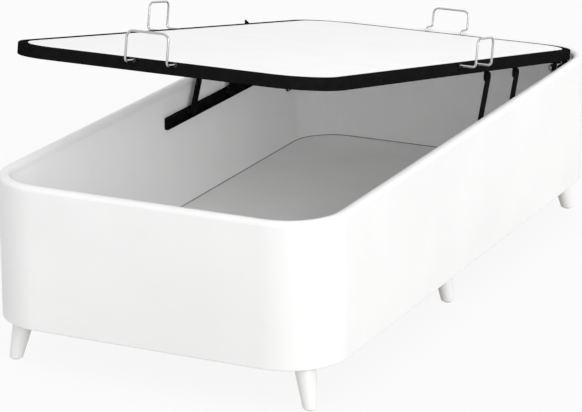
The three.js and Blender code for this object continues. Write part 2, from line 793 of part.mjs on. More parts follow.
addPanels(base);
addSoftLayers(base);
base.add(piece('floor_panel', floorPanel(), 'lining'));
addLegs(base);
addIronwork(base);
addLidFrame(lid);
addArms(lid);
addGasSprings(base, lid);

export default group;
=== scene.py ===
import json
import math

import bmesh
import bpy
from mathutils import Matrix, Vector


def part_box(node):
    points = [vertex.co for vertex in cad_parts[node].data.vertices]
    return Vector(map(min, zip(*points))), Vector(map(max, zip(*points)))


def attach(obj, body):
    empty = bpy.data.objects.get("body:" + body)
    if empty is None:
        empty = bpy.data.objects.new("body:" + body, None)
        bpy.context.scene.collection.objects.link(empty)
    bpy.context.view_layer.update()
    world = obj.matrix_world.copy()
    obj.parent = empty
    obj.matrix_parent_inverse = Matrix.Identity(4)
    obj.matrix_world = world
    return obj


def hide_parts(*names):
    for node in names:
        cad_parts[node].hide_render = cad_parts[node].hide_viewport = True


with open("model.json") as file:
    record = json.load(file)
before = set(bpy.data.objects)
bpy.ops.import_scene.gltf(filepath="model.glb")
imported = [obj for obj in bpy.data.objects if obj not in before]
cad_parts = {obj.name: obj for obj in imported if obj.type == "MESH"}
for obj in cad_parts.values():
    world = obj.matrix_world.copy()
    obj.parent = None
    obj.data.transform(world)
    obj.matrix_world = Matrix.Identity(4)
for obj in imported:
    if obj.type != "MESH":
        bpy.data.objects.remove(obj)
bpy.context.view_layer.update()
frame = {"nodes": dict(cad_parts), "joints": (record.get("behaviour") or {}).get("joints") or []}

# The view: the base stands with its foot end and right side to the viewer, a little below
# the eye. A long lens far away keeps the sides almost parallel. The object has no cord.
photo_width_px = 582
focal_px = 2764.3
film_width_mm = 36
view_yaw = math.radians(25.45)
view_pitch = math.radians(17.40)
view_distance = 7.432
view_aim = Vector((-0.0649, 0, 0.1924))
view_reach = 100

camera_data = bpy.data.cameras.new("view")
camera_data.sensor_fit = "HORIZONTAL"
camera_data.sensor_width = film_width_mm
camera_data.lens = focal_px / photo_width_px * film_width_mm
camera_data.clip_end = view_reach
camera = bpy.data.objects.new("view", camera_data)
level = math.cos(view_pitch)
towards_eye = Vector((math.sin(view_yaw) * level, -math.cos(view_yaw) * level,
                      math.sin(view_pitch)))
camera.location = view_aim + view_distance * towards_eye
camera.rotation_euler = (math.pi / 2 - view_pitch, 0, view_yaw)
bpy.context.scene.collection.objects.link(camera)
bpy.context.scene.camera = camera

# Wall boards: four straight boards and four bent corners of birch plywood, 16 mm thick.
# They stand on the floor board and are stapled to it, and the foam is glued round them.
patch_detail = 4
tint_start = 0.35
tint_end = 0.65


def step(tree, kind, **inputs):
    """A node in a tree, whose inputs are values or other nodes' outputs."""
    made = tree.nodes.new(kind)
    for label, value in inputs.items():
        socket = made.inputs[label.replace("_", " ")]
        if isinstance(value, bpy.types.NodeSocket):
            tree.links.new(value, socket)
        else:
            socket.default_value = value
    return made


def surface(name, colour, second, roughness, metallic=0.0, patch=0.05, grain=0.001, depth=0.00003,
            spread=0.06, cells=False, stretch=(1, 1, 1), coat=0.0, warp=0.0, reflection=0.5):
    """A finish with two close colours in soft patches, and a fine grain in its relief and gloss."""
    material = bpy.data.materials.new(name)
    material.use_nodes = True
    tree = material.node_tree
    shader = tree.nodes["Principled BSDF"]
    shader.inputs["Metallic"].default_value = metallic
    shader.inputs["Coat Weight"].default_value = coat
    shader.inputs["Specular IOR Level"].default_value = reflection
    place = step(tree, "ShaderNodeTexCoord").outputs["Object"]
    turn = step(tree, "ShaderNodeMapping", Vector=place, Scale=stretch).outputs["Vector"]
    patches = step(tree, "ShaderNodeTexNoise", Vector=turn, Scale=1 / patch, Detail=patch_detail,
                   Distortion=warp)
    tint = step(tree, "ShaderNodeValToRGB", Fac=patches.outputs["Fac"])
    tint.color_ramp.elements[0].position = tint_start
    tint.color_ramp.elements[0].color = (*colour, 1)
    tint.color_ramp.elements[1].position = tint_end
    tint.color_ramp.elements[1].color = (*second, 1)
    fine = step(tree, "ShaderNodeTexVoronoi" if cells else "ShaderNodeTexNoise", Vector=turn,
                Scale=1 / grain)
    height = fine.outputs["Distance" if cells else "Fac"]
    gloss = step(tree, "ShaderNodeMapRange", Value=height, To_Min=roughness - spread,
                 To_Max=roughness + spread)
    relief = step(tree, "ShaderNodeBump", Height=height, Distance=depth)
    tree.links.new(tint.outputs["Color"], shader.inputs["Base Color"])
    tree.links.new(gloss.outputs["Result"], shader.inputs["Roughness"])
    tree.links.new(relief.outputs["Normal"], shader.inputs["Normal"])
    return material


def dress_nodes(names, material):
    for name in names:
        frame["nodes"][name].data.materials.clear()
        frame["nodes"][name].data.materials.append(material)


plywood = surface("birch_plywood", (0.60, 0.43, 0.25), (0.47, 0.31, 0.16), 0.75, patch=0.012,
                  grain=0.0015, depth=0.0001, stretch=(1, 1, 0.12), warp=0.6)
board_names = ["side_panel_left", "side_panel_right", "foot_panel", "head_panel"]
board_names += [f"corner_panel_{corner}" for corner in
                ("head_left", "head_right", "foot_left", "foot_right")]
dress_nodes(board_names, plywood)

# Foam: a sheet of firm cream foam, 10 mm thick, glued round the boards and over their top
# edge. It gives the rim and the lower edge their soft rounding under the cover.
body_low, body_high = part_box("base_cover")
rim_z = body_high.z
base_bottom = body_low.z
half_width = body_high.x
half_length = body_high.y
corner_radius = 0.157
corner_steps = 32
cover_thickness = 0.0015
foam_thickness = 0.0101
seat_gap = 0.0003
wall_thickness = 0.030
rim_radius = 0.014
base_edge_radius = 0.004
edge_steps = 8
crease = math.radians(35)
quarter = math.pi / 2
base_plan = (half_width, -half_length, half_length, corner_radius)


def arc(x, y, radius, start, end, steps):
    turns = [start + (end - start) * part / steps for part in range(steps + 1)]
    return [(x + radius * math.cos(turn), y + radius * math.sin(turn)) for turn in turns]


def plan_loop(plan, inset, z):
    """A rectangle with round corners at one height; the inset keeps the corners' centres."""
    side, foot, head, radius = plan
    centres = [(side - radius, head - radius), (radius - side, head - radius)]
    centres += [(radius - side, foot + radius), (side - radius, foot + radius)]
    loop = []
    for corner, (x, y) in enumerate(centres):
        loop += arc(x, y, radius - inset, corner * quarter, (corner + 1) * quarter, corner_steps)
    return [(x, y, z) for x, y in loop]


def loft(rows, closed=False):
    """Faces between rows of points; the last row joins the first one, or both ends are capped."""
    count = len(rows[0])
    total = len(rows)
    faces = []
    for row in range(total if closed else total - 1):
        here, there = row * count, (row + 1) % total * count
        for column in range(count):
            beside = (column + 1) % count
            faces.append((here + column, here + beside, there + beside, there + column))
    if not closed:
        faces.append(tuple(range(count)))
        faces.append(tuple(range((total - 1) * count, total * count)))
    return [point for row in rows for point in row], faces


def ring_shell(plan, section):
    """A closed shell that follows a plan all round, from a section of (inset, height) points."""
    return loft([plan_loop(plan, inset, z) for inset, z in section], closed=True)


def placed(name, data):
    thing = bpy.data.objects.new(name, data)
    bpy.context.scene.collection.objects.link(thing)
    return thing


def shaped(name, shells, material, matrix=None):
    """One object from closed shells, its faces turned outwards and its hard edges kept hard."""
    points, faces = [], []
    for shell_points, shell_faces in shells:
        first = len(points)
        points += shell_points
        faces += [tuple(first + corner for corner in face) for face in shell_faces]
    mesh = bpy.data.meshes.new(name)
    mesh.from_pydata(points, [], faces)
    build = bmesh.new()
    build.from_mesh(mesh)
    bmesh.ops.recalc_face_normals(build, faces=build.faces)
    build.to_mesh(mesh)
    build.free()
    if matrix:
        mesh.transform(matrix)
    mesh.shade_smooth()
    mesh.set_sharp_from_angle(angle=crease)
    mesh.materials.append(material)
    return placed(name, mesh)


def put(piece, body, slot, *nodes):
    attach(piece, body)
    if nodes:
        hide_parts(*nodes)


base_edge_z = base_bottom + base_edge_radius
rim_edge_z = rim_z - rim_radius


def wall_profile(offset):
    """The wall's section from its lower edge over the rim, this far in from the outside."""
    profile = arc(base_edge_radius, base_edge_z, base_edge_radius - offset,
                  3 * quarter, 2 * quarter, edge_steps)
    profile += arc(rim_radius, rim_edge_z, rim_radius - offset, 2 * quarter, quarter, edge_steps)
    return profile + arc(wall_thickness - rim_radius, rim_edge_z, rim_radius - offset,
                         quarter, 0, edge_steps)


foam_inset = cover_thickness + seat_gap
foam_back = foam_inset + foam_thickness
foam_base = base_bottom + foam_inset
foam_section = wall_profile(foam_inset) + [(foam_back, rim_edge_z), (foam_back, foam_base)]
foam = surface("cream_foam", (0.80, 0.74, 0.60), (0.72, 0.65, 0.50), 0.95, spread=0.04,
               grain=0.0012, depth=0.0003, cells=True)
foam_layer = shaped("foam_layer", [ring_shell(base_plan, foam_section)], foam)
put(foam_layer, "base", "foam", "base_foam")

# Cover: one band of white synthetic leather, 1.5 mm thick, drawn tight over the foam.
# It folds over the rim into the well, and turns under the base, where it is stapled.
fold_depth = 0.006
turn_under = 0.056
fold_z = rim_edge_z - fold_depth


def cover_skin(offset):
    """The cover's section from its turned-under edge to its fold, this far in from the outside."""
    skin = [(turn_under, base_bottom + offset)] + wall_profile(offset)
    return skin + [(wall_thickness - offset, fold_z)]


cover_leather = surface("white_synthetic_leather", (0.905, 0.905, 0.90), (0.875, 0.875, 0.87),
                        0.50, patch=0.25, grain=0.0013, depth=0.00005, cells=True, spread=0.07)
cover_section = cover_skin(0) + cover_skin(cover_thickness)[::-1]
cover = shaped("base_cover_skin", [ring_shell(base_plan, cover_section)], cover_leather)
put(cover, "base", "upholstery", "base_cover")


outer_skin = cover_skin(0)

# Staples: steel wire staples, 10 mm wide, fired every 40 mm through the turned-under strip
# of the cover into the boards' lower edges.
staple_inset = 0.034
staple_spacing = 0.040
staple_width = 0.010
staple_wire = 0.0006
staple_wobble = 0.1
staple_seed = 7


def new_tree(name, sizes):
    """An empty geometry tree with its named inputs, and the identifiers of those inputs."""
    tree = bpy.data.node_groups.new(name, "GeometryNodeTree")
    keys = {}
    tree.interface.new_socket("Geometry", in_out="INPUT", socket_type="NodeSocketGeometry")
    for label, kind in sizes.items():
        keys[label] = tree.interface.new_socket(label, in_out="INPUT", socket_type=kind).identifier
    tree.interface.new_socket("Geometry", in_out="OUTPUT", socket_type="NodeSocketGeometry")
    return tree, keys


def close_tree(tree, geometry, material):
    real = step(tree, "GeometryNodeRealizeInstances", Geometry=geometry)
    dressed = step(tree, "GeometryNodeSetMaterial", Geometry=real.outputs[0], Material=material)
    out = tree.nodes.new("NodeGroupOutput")
    tree.links.new(dressed.outputs[0], out.inputs[0])


def grown(name, mesh, tree, keys, values):
    """A plain mesh object from a tree's result on a mesh of points or lines."""
    piece = placed(name, mesh)
    grow = piece.modifiers.new("grow", "NODES")
    grow.node_group = tree
    for label, value in values.items():
        grow[keys[label]] = value
    graph = bpy.context.evaluated_depsgraph_get()
    result = bpy.data.meshes.new_from_object(piece.evaluated_get(graph), depsgraph=graph)
    piece.modifiers.remove(grow)
    piece.data = result
    return piece


def line_mesh(name, points, closed=False):
    mesh = bpy.data.meshes.new(name)
    edges = [(first, first + 1) for first in range(len(points) - 1)]
    if closed:
        edges.append((len(points) - 1, 0))
    mesh.from_pydata(points, edges, [])
    return mesh


staple_tree, staple_keys = new_tree("staples_along_a_line", {
    "Spacing": "NodeSocketFloat", "Staple Width": "NodeSocketFloat", "Wire": "NodeSocketFloat",
    "Seed": "NodeSocketInt", "Metal": "NodeSocketMaterial"})
given = staple_tree.nodes.new("NodeGroupInput").outputs
line = step(staple_tree, "GeometryNodeMeshToCurve", Mesh=given["Geometry"])
spots = staple_tree.nodes.new("GeometryNodeCurveToPoints")
spots.mode = "LENGTH"
staple_tree.links.new(line.outputs[0], spots.inputs["Curve"])
staple_tree.links.new(given["Spacing"], spots.inputs["Length"])
staple_size = step(staple_tree, "ShaderNodeCombineXYZ", X=given["Wire"], Y=given["Wire"],
                   Z=given["Staple Width"])
crown = step(staple_tree, "GeometryNodeMeshCube", Size=staple_size.outputs[0])
wobble = staple_tree.nodes.new("FunctionNodeRandomValue")
wobble.data_type = "FLOAT_VECTOR"
wobble.inputs[0].default_value = (-staple_wobble, -staple_wobble, 0)
wobble.inputs[1].default_value = (staple_wobble, staple_wobble, 0)
staple_tree.links.new(given["Seed"], wobble.inputs["Seed"])
turned_spot = staple_tree.nodes.new("FunctionNodeRotateRotation")
turned_spot.rotation_space = "LOCAL"
staple_tree.links.new(spots.outputs["Rotation"], turned_spot.inputs[0])
staple_tree.links.new(wobble.outputs[0], turned_spot.inputs[1])
staples_set = step(staple_tree, "GeometryNodeInstanceOnPoints", Points=spots.outputs["Points"],
                   Instance=crown.outputs["Mesh"], Rotation=turned_spot.outputs[0])
close_tree(staple_tree, staples_set.outputs[0], given["Metal"])

zinc = surface("zinc_plate", (0.52, 0.52, 0.50), (0.42, 0.42, 0.41), 0.38, metallic=1,
               patch=0.008, grain=0.0008, depth=0.00001)
staple_path = plan_loop(base_plan, staple_inset, base_bottom)
staple_line = line_mesh("staple_line", staple_path, closed=True)
staples = grown("cover_staples", staple_line, staple_tree, staple_keys, {
    "Spacing": staple_spacing, "Staple Width": staple_width, "Wire": staple_wire,
    "Seed": staple_seed, "Metal": zinc})
put(staples, "base", "zinc")

# Lining: smooth white sheet, 1.5 mm thick, glued to the inner face of the boards up to the
# cover's fold. A thin dark grey bead in the joint between it and the well's floor is painted
# shade: it stands in for the shadow line at the foot of the wall.
lining_thickness = 0.0015
floor_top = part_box("floor_panel")[1].z
lining_floor_gap = 0.0025
lining_bottom = floor_top + lining_floor_gap
lining_top = fold_z - seat_gap
lining_outer = wall_thickness - lining_thickness
lining_white = surface("white_lining", (0.93, 0.93, 0.93), (0.915, 0.915, 0.915), 0.80,
                       spread=0.05, patch=0.10, grain=0.0009, depth=0.00003, reflection=0.3)
lining_section = [(lining_outer, lining_bottom), (lining_outer, lining_top),
                  (wall_thickness, lining_top), (wall_thickness, lining_bottom)]
lining = shaped("well_lining", [ring_shell(base_plan, lining_section)], lining_white)
put(lining, "base", "lining", "inner_lining")

bead_size = 0.0020
bend_steps = 4
# The bead's dark grey is painted shade, a line of shadow where the lining meets the floor.
sealant_painted_shade = surface("sealant_painted_shade", (0.29, 0.29, 0.29), (0.25, 0.25, 0.25), 0.6, patch=0.02)
bead_section = arc(lining_outer, floor_top, bead_size, quarter, 0, bend_steps)
bead_section = [(lining_outer, floor_top)] + bead_section
bead = shaped("floor_joint_bead_painted_shade", [ring_shell(base_plan, bead_section)], sealant_painted_shade)
put(bead, "base", "lining")

# Floor of the well: one 10 mm board that carries the walls and closes the base, with a pale
# foil on its upper face and bare fibreboard below.
facing_up = 0.5
floor_foil = surface("floor_board_foil", (0.92, 0.92, 0.915), (0.90, 0.90, 0.895), 0.55,
                     patch=0.12, grain=0.0010, depth=0.00002, reflection=0.3)
foil_tree = floor_foil.node_tree
foil_nodes, foil_links = foil_tree.nodes, foil_tree.links
bare_tint = step(foil_tree, "ShaderNodeValToRGB", Fac=foil_nodes["Noise Texture"].outputs["Fac"])
bare_tint.color_ramp.elements[0].color = (0.36, 0.22, 0.11, 1)
bare_tint.color_ramp.elements[1].color = (0.46, 0.30, 0.16, 1)
facing = step(foil_tree, "ShaderNodeNewGeometry").outputs["Normal"]
facing_parts = step(foil_tree, "ShaderNodeSeparateXYZ", Vector=facing)
upwards = foil_nodes.new("ShaderNodeMath")
upwards.operation = "GREATER_THAN"
upwards.inputs[1].default_value = facing_up
foil_or_bare = foil_nodes.new("ShaderNodeMix")
foil_or_bare.data_type = "RGBA"
bare_in, foil_in = [socket for socket in foil_or_bare.inputs if socket.type == "RGBA"]
mixed = next(socket for socket in foil_or_bare.outputs if socket.type == "RGBA")
foil_links.new(facing_parts.outputs["Z"], upwards.inputs[0])
foil_links.new(upwards.outputs["Value"], foil_or_bare.inputs[0])
foil_links.new(bare_tint.outputs["Color"], bare_in)
foil_links.new(foil_nodes["Color Ramp"].outputs["Color"], foil_in)
foil_links.new(mixed, foil_nodes["Principled BSDF"].inputs["Base Color"])
dress_nodes(["floor_panel"], floor_foil)

# Legs: six turned beech cones in white lacquer, splayed a little outwards. Each has a nylon
# pad under it, and screws into a steel plate under the base.
leg_setback_x = 0.060
foot_leg_setback = 0.071
head_leg_setback = 0.061
middle_leg_shift = 0.024
leg_splay_x = 0.020
leg_splay_y = 0.013
leg_foot_radius = 0.0175
leg_top_radius = 0.0275
leg_foot_edge = 0.004
leg_top_edge = 0.0012
leg_pad_radius = 0.0118
leg_pad_height = 0.0022
leg_pad_edge = 0.0008
round_sides = 48
both_sides = (("left", -1), ("right", 1))


def ring_of(radius, along, sides=round_sides):
    return [(radius * math.cos(turn), radius * math.sin(turn), along)
            for turn in (2 * math.pi * side / sides for side in range(sides))]


def turned(profile, sides=round_sides):
    """A turning about Z, from (radius, height) points; both its ends are closed."""
    return loft([ring_of(radius, along, sides) for radius, along in profile])


leg_lacquer = surface("white_lacquer", (0.87, 0.87, 0.86), (0.83, 0.83, 0.82), 0.30, patch=0.08,
                      grain=0.0009, depth=0.00001, coat=0.3)
pad_nylon = surface("pale_nylon", (0.62, 0.62, 0.60), (0.55, 0.55, 0.53), 0.55, patch=0.01)
leg_top_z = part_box("leg_foot_left")[1].z
leg_profile = arc(leg_foot_radius - leg_foot_edge, leg_pad_height + leg_foot_edge, leg_foot_edge,
                  -quarter, 0, edge_steps)
leg_profile += arc(leg_top_radius - leg_top_edge, leg_top_z - leg_top_edge, leg_top_edge,
                   0, quarter, bend_steps)
pad_profile = [(leg_pad_radius - leg_pad_edge, 0), (leg_pad_radius, leg_pad_edge),
               (leg_pad_radius, leg_pad_height)]
leg_stations = (("foot", -1, foot_leg_setback - half_length), ("middle", 0, -middle_leg_shift),
                ("head", 1, half_length - head_leg_setback))
for side_name, side in both_sides:
    for end_name, end, foot_y in leg_stations:
        foot_x = side * (half_width - leg_setback_x)
        lean = Matrix.Identity(4)
        lean[0][2] = -side * leg_splay_x / leg_top_z
        lean[1][2] = -end * leg_splay_y / leg_top_z
        place = Matrix.Translation((foot_x, foot_y, 0)) @ lean
        tag = f"{end_name}_{side_name}"
        leg = shaped(f"turned_leg_{tag}", [turned(leg_profile)], leg_lacquer, place)
        put(leg, "base", "leg", f"leg_{tag}")
        pad = shaped(f"leg_pad_{tag}", [turned(pad_profile)], pad_nylon, place)
        put(pad, "base", "nylon")
dress_nodes([f"leg_plate_{end}_{side}" for end, _, _ in leg_stations for side, _ in both_sides],
            zinc)

# Rails: a folded steel channel in black powder coat on each inner wall, open towards the
# well. Six flat-headed screws hold each one, and the arms' glides run in it.
rail_wall = 0.002
rail_bend = 0.0025
rail_bend_inner = 0.0005
tight_steps = 2
rail_screws = 6
screw_radius = 0.0036
screw_height = 0.0007
screw_sides = 20
screw_top_share = 0.72
screw_recess_share = 0.2
black_coat = surface("black_powder_coat", (0.0070, 0.0070, 0.0072), (0.0095, 0.0095, 0.0098), 0.30,
                     patch=0.02, grain=0.0006, depth=0.00001, spread=0.04, reflection=0)
well_half_width = half_width - wall_thickness
rail_low, rail_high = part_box("base_rail_right")


def rail_section():
    """The channel in (x, z): out along the lower flange, up the web, back along the upper one."""
    tip, back = rail_low.x, rail_high.x
    low, high = rail_low.z, rail_high.z
    bend, inner = rail_bend, rail_bend_inner
    web = back - rail_wall
    section = [(tip, low)] + arc(back - bend, low + bend, bend, -quarter, 0, bend_steps)
    section += arc(back - bend, high - bend, bend, 0, quarter, bend_steps)
    section += [(tip, high), (tip, high - rail_wall)]
    section += arc(web - inner, high - rail_wall - inner, inner, quarter, 0, tight_steps)
    section += arc(web - inner, low + rail_wall + inner, inner, 0, -quarter, tight_steps)
    return section + [(tip, low + rail_wall)]


screw_tree, screw_keys = new_tree("slotted_screw_heads", {
    "Head Radius": "NodeSocketFloat", "Head Height": "NodeSocketFloat",
    "Facing": "NodeSocketRotation", "Metal": "NodeSocketMaterial"})
given = screw_tree.nodes.new("NodeGroupInput").outputs


def scaled(value, factor):
    product = screw_tree.nodes.new("ShaderNodeMath")
    product.operation = "MULTIPLY"
    product.inputs[1].default_value = factor
    screw_tree.links.new(value, product.inputs[0])
    return product.outputs[0]


head = step(screw_tree, "GeometryNodeMeshCone", Vertices=screw_sides,
            Radius_Top=scaled(given["Head Radius"], screw_top_share),
            Radius_Bottom=given["Head Radius"], Depth=given["Head Height"])
recess = screw_tree.nodes.new("GeometryNodeMeshBoolean")
recess.operation = "DIFFERENCE"
recess.solver = "EXACT"
screw_tree.links.new(head.outputs["Mesh"], recess.inputs["Mesh 1"])
for share_x, share_y in ((1.0, screw_recess_share), (screw_recess_share, 1.0)):
    slot_size = step(screw_tree, "ShaderNodeCombineXYZ", X=scaled(given["Head Radius"], share_x),
                     Y=scaled(given["Head Radius"], share_y), Z=given["Head Height"])
    blade = step(screw_tree, "GeometryNodeMeshCube", Size=slot_size.outputs[0])
    lift = step(screw_tree, "ShaderNodeCombineXYZ", Z=given["Head Height"])
    raised = step(screw_tree, "GeometryNodeTransform", Geometry=blade.outputs["Mesh"],
                  Translation=lift.outputs[0])
    screw_tree.links.new(raised.outputs[0], recess.inputs["Mesh 2"])
heads = step(screw_tree, "GeometryNodeInstanceOnPoints", Points=given["Geometry"],
             Instance=recess.outputs["Mesh"], Rotation=given["Facing"])
close_tree(screw_tree, heads.outputs[0], given["Metal"])


def screws(name, points, facing, body, radius=screw_radius, height=screw_height, metal=zinc):
    """A row of screw heads at points, all turned the same way."""
    heads_mesh = bpy.data.meshes.new(name)
    heads_mesh.from_pydata(points, [], [])
    piece = grown(name, heads_mesh, screw_tree, screw_keys, {
        "Head Radius": radius, "Head Height": height, "Facing": facing, "Metal": metal})
    put(piece, body, "zinc" if metal is zinc else "black_steel")


rail_points = rail_section()
rail_gap = (rail_high.y - rail_low.y) / rail_screws
for side_name, side in both_sides:
    rows = [[(side * x, y, z) for x, z in rail_points] for y in (rail_low.y, rail_high.y)]
    rail = shaped(f"wall_rail_{side_name}", [loft(rows)], black_coat)
    put(rail, "base", "black_steel", f"base_rail_{side_name}")
    web_x = side * (rail_high.x - rail_wall)
    rail_middle_z = (rail_low.z + rail_high.z) / 2
    spots = [(web_x, rail_low.y + rail_gap * (place + 0.5), rail_middle_z)
             for place in range(rail_screws)]
    screws(f"rail_screws_{side_name}", spots, (0, -side * quarter, 0), "base", metal=black_coat)

# Hinge brackets: laser-cut steel plates, welded and powder coated, screwed to each side wall
# near the head end. A riveted zinc pin carries the lid's eye on each one.
hinge = Vector(frame["joints"][0]["pos_m"])
hinge_ear_setback = 0.0245
plate_thickness = 0.005
plate_edge = 0.0006
pivot_radius = 0.004
pin_clearance = 0.0003
pin_head_radius = 0.007
pin_head_thickness = 0.0025
pin_chamfer = 0.0012
pin_sides = 32
running_gap = 0.001
hinge_eye_radius = 0.013
eye_steps = 24
hinge_step_setback = 0.062
hinge_step_edge = 0.0003
hinge_flange_length = 0.066
hinge_flange_height = 0.076
hinge_flange_drop = 0.024
hinge_flange_thickness = 0.004
flange_corner = 0.006
flange_corner_steps = 5
flange_screw_inset = 0.012
flange_screw_size = (0.0045, 0.0022)  # radius, height
sharpest_mitre = 0.5


def drawn_in(points, distance):
    """A closed outline moved inwards by a distance, for the broken edge of a plate."""
    area = sum(a[0] * b[1] - b[0] * a[1] for a, b in zip(points, points[1:] + points[:1]))
    turn = 1 if area > 0 else -1
    moved = []
    for index, point in enumerate(points):
        before = Vector(point) - Vector(points[index - 1])
        after = Vector(points[(index + 1) % len(points)]) - Vector(point)
        normals = [Vector((-edge.y, edge.x)).normalized() * turn for edge in (before, after)]
        middle = (normals[0] + normals[1]).normalized()
        share = max(middle.dot(normals[0]), sharpest_mitre)
        moved.append(tuple(Vector(point) + middle * distance / share))
    return moved


def side_plate(points, near, far, edge=plate_edge):
    """A plate in the side plane, from its (y, z) outline, between two values of x."""
    way = math.copysign(edge, far - near)
    small = drawn_in(points, edge)
    rows = [(near, small), (near + way, points), (far - way, points), (far, small)]
    return loft([[(x, y, z) for y, z in outline] for x, outline in rows])


def bored_plate(points, centre, bore, near, far):
    """A side plate with a round hole; every corner of its outline can be seen from the hole."""
    way = math.copysign(plate_edge, far - near)
    small = drawn_in(points, plate_edge)
    hole = []
    for y, z in points:
        turn = math.atan2(z - centre[1], y - centre[0])
        hole.append((centre[0] + bore * math.cos(turn), centre[1] + bore * math.sin(turn)))
    rows = [(near, small), (near + way, points), (far - way, points), (far, small),
            (far, hole), (near, hole)]
    return loft([[(x, y, z) for y, z in outline] for x, outline in rows], closed=True)


def soft_box(low_y, high_y, low_z, high_z, radius, steps=flange_corner_steps):
    """A rectangle with round corners in (y, z)."""
    corners = [(high_y - radius, high_z - radius), (low_y + radius, high_z - radius)]
    corners += [(low_y + radius, low_z + radius), (high_y - radius, low_z + radius)]
    return [point for turn, (y, z) in enumerate(corners)
            for point in arc(y, z, radius, turn * quarter, (turn + 1) * quarter, steps)]


def cross_pin(profile, y, z, side):
    """A turning across the bed, from (x, radius) points, about a line through (y, z)."""
    return loft([[(side * x, y + a, z + b) for a, b, _ in ring_of(radius, 0, pin_sides)]
                 for x, radius in profile])


def hanging_eye(y, z, radius, top):
    """A lug's outline: round below its pivot, with straight sides up to a flat top."""
    flat_top = [(y + radius, top), (y + radius / 2, top), (y - radius / 2, top), (y - radius, top)]
    return flat_top + arc(y, z, radius, 2 * quarter, 4 * quarter, eye_steps)


ear_outer = well_half_width - hinge_ear_setback
ear_inner = ear_outer - plate_thickness
wall_face = well_half_width - seat_gap
step_y = hinge.y - hinge_step_setback
flange_top = rim_z - hinge_flange_drop
ear_outline = [(step_y - plate_thickness, hinge.z + hinge_eye_radius),
               (step_y - plate_thickness, hinge.z - hinge_eye_radius)]
ear_outline += arc(hinge.y, hinge.z, hinge_eye_radius, -quarter, quarter, eye_steps)
flange_outline = soft_box(step_y - hinge_flange_length, step_y,
                          flange_top - hinge_flange_height, flange_top, flange_corner)
flange_screw_ys = (step_y - hinge_flange_length + flange_screw_inset,
                   step_y - plate_thickness - flange_screw_inset)
flange_screw_zs = (flange_top - flange_screw_inset,
                   flange_top - hinge_flange_height + flange_screw_inset)
step_outline = soft_box(step_y - plate_thickness, step_y, hinge.z - hinge_eye_radius, flange_top,
                        plate_edge, tight_steps)
pin_inner = ear_inner - running_gap - plate_thickness
inner_seat = pin_inner - seat_gap
inner_head = inner_seat - pin_head_thickness
outer_seat = ear_outer + seat_gap
outer_head = outer_seat + pin_head_thickness
pin_profile = [(inner_head, pin_head_radius - pin_chamfer),
               (inner_head + pin_chamfer, pin_head_radius), (inner_seat, pin_head_radius),
               (inner_seat, pivot_radius), (outer_seat, pivot_radius),
               (outer_seat, pin_head_radius), (outer_head - pin_chamfer, pin_head_radius),
               (outer_head, pin_head_radius - pin_chamfer)]
for side_name, side in both_sides:
    flange_x = side * (wall_face - hinge_flange_thickness)
    bracket_shells = [
        side_plate(flange_outline, flange_x, side * wall_face),
        side_plate(step_outline, side * ear_inner, side * wall_face, hinge_step_edge),
        bored_plate(ear_outline, (hinge.y, hinge.z), pivot_radius + pin_clearance,
                    side * ear_inner, side * ear_outer),
    ]
    bracket = shaped(f"hinge_plate_{side_name}", bracket_shells, black_coat)
    put(bracket, "base", "black_steel", f"hinge_bracket_{side_name}")
    pin = shaped(f"hinge_rivet_{side_name}", [cross_pin(pin_profile, hinge.y, hinge.z, side)], zinc)
    put(pin, "base", "zinc", f"hinge_pin_{side_name}")
    spots = [(flange_x, y, z) for y in flange_screw_ys for z in flange_screw_zs]
    screws(f"hinge_screws_{side_name}", spots, (0, -side * quarter, 0), "base",
           *flange_screw_size)

# Gas springs: on each side a black steel cylinder that turns on a stud on the wall, and a
# chromed rod that slides in it and turns on a stud under the lid.
gas_axis_setback = 0.0245
gas_eye_width = 0.008
gas_eye_radius = 0.009
gas_collar_radius = 0.007
gas_cylinder_radius = 0.0095
gas_cylinder_length = 0.086
gas_cylinder_start = 0.014
gas_shoulder = 0.003
gas_shoulder_steps = 5
# The groove rolled into the cylinder: distance from its open end, and depth.
gas_groove = ((0.012, 0), (0.011, 0.0008), (0.009, 0.0008), (0.008, 0))
gas_end_edge = 0.002
gas_end_wall = 0.004
gas_bore_radius = 0.006
gas_bore_floor = 0.005
gas_neck_radius = 0.004
gas_neck_root = 0.002
gas_rod_radius = 0.004
gas_rod_length = 0.110
gas_rod_edge = 0.0008
gas_stud_root = 0.001
gas_bracket_thickness = 0.004
gas_bracket_half = (0.025, 0.022)  # along, up
gas_screws_half = (0.018, 0.015)  # along, up
gas_screw_size = (0.0038, 0.0018)  # radius, height
gas_lug_top = 0.0167
gas_lug_reach = (0.018, 0.013)  # inner and outer face, from the well's side
gas_pad_bottom = 0.0127
gas_pad_half = 0.020
gas_pad_edge = 0.001
gas_pad_reach = (0.027, 0.003)  # inner and outer face, from the well's side
gas_lug_stud_reach = 0.0155
joints = {joint["name"]: joint for joint in frame["joints"]}
gas_axis = well_half_width - gas_axis_setback
lid_tilt = math.radians(10.5)
lid_place = Matrix.Translation(hinge) @ Matrix.Rotation(-lid_tilt, 4, "X")
chrome = surface("bright_chrome", (0.50, 0.50, 0.51), (0.44, 0.44, 0.45), 0.12, metallic=1,
                 patch=0.03, grain=0.002, depth=0.000002, spread=0.03)


def gas_stud(outer, y, z, side):
    """The stud that carries a spring's eye: a pin with a collar behind it and a round head."""
    seat_x = gas_axis - gas_eye_width / 2 - seat_gap
    head_x = seat_x - pin_head_thickness
    collar_x = gas_axis + gas_eye_width / 2 + seat_gap
    profile = [(head_x, pin_head_radius - pin_chamfer), (head_x + pin_chamfer, pin_head_radius),
               (seat_x, pin_head_radius), (seat_x, pivot_radius), (collar_x, pivot_radius),
               (collar_x, gas_collar_radius), (outer, gas_collar_radius)]
    return cross_pin(profile, y, z, side)


def gas_eye(side):
    rim = arc(0, 0, gas_eye_radius, 0, 4 * quarter, round_sides)[:-1]
    near, far = gas_axis - gas_eye_width / 2, gas_axis + gas_eye_width / 2
    return bored_plate(rim, (0, 0), pivot_radius + pin_clearance, side * near, side * far)


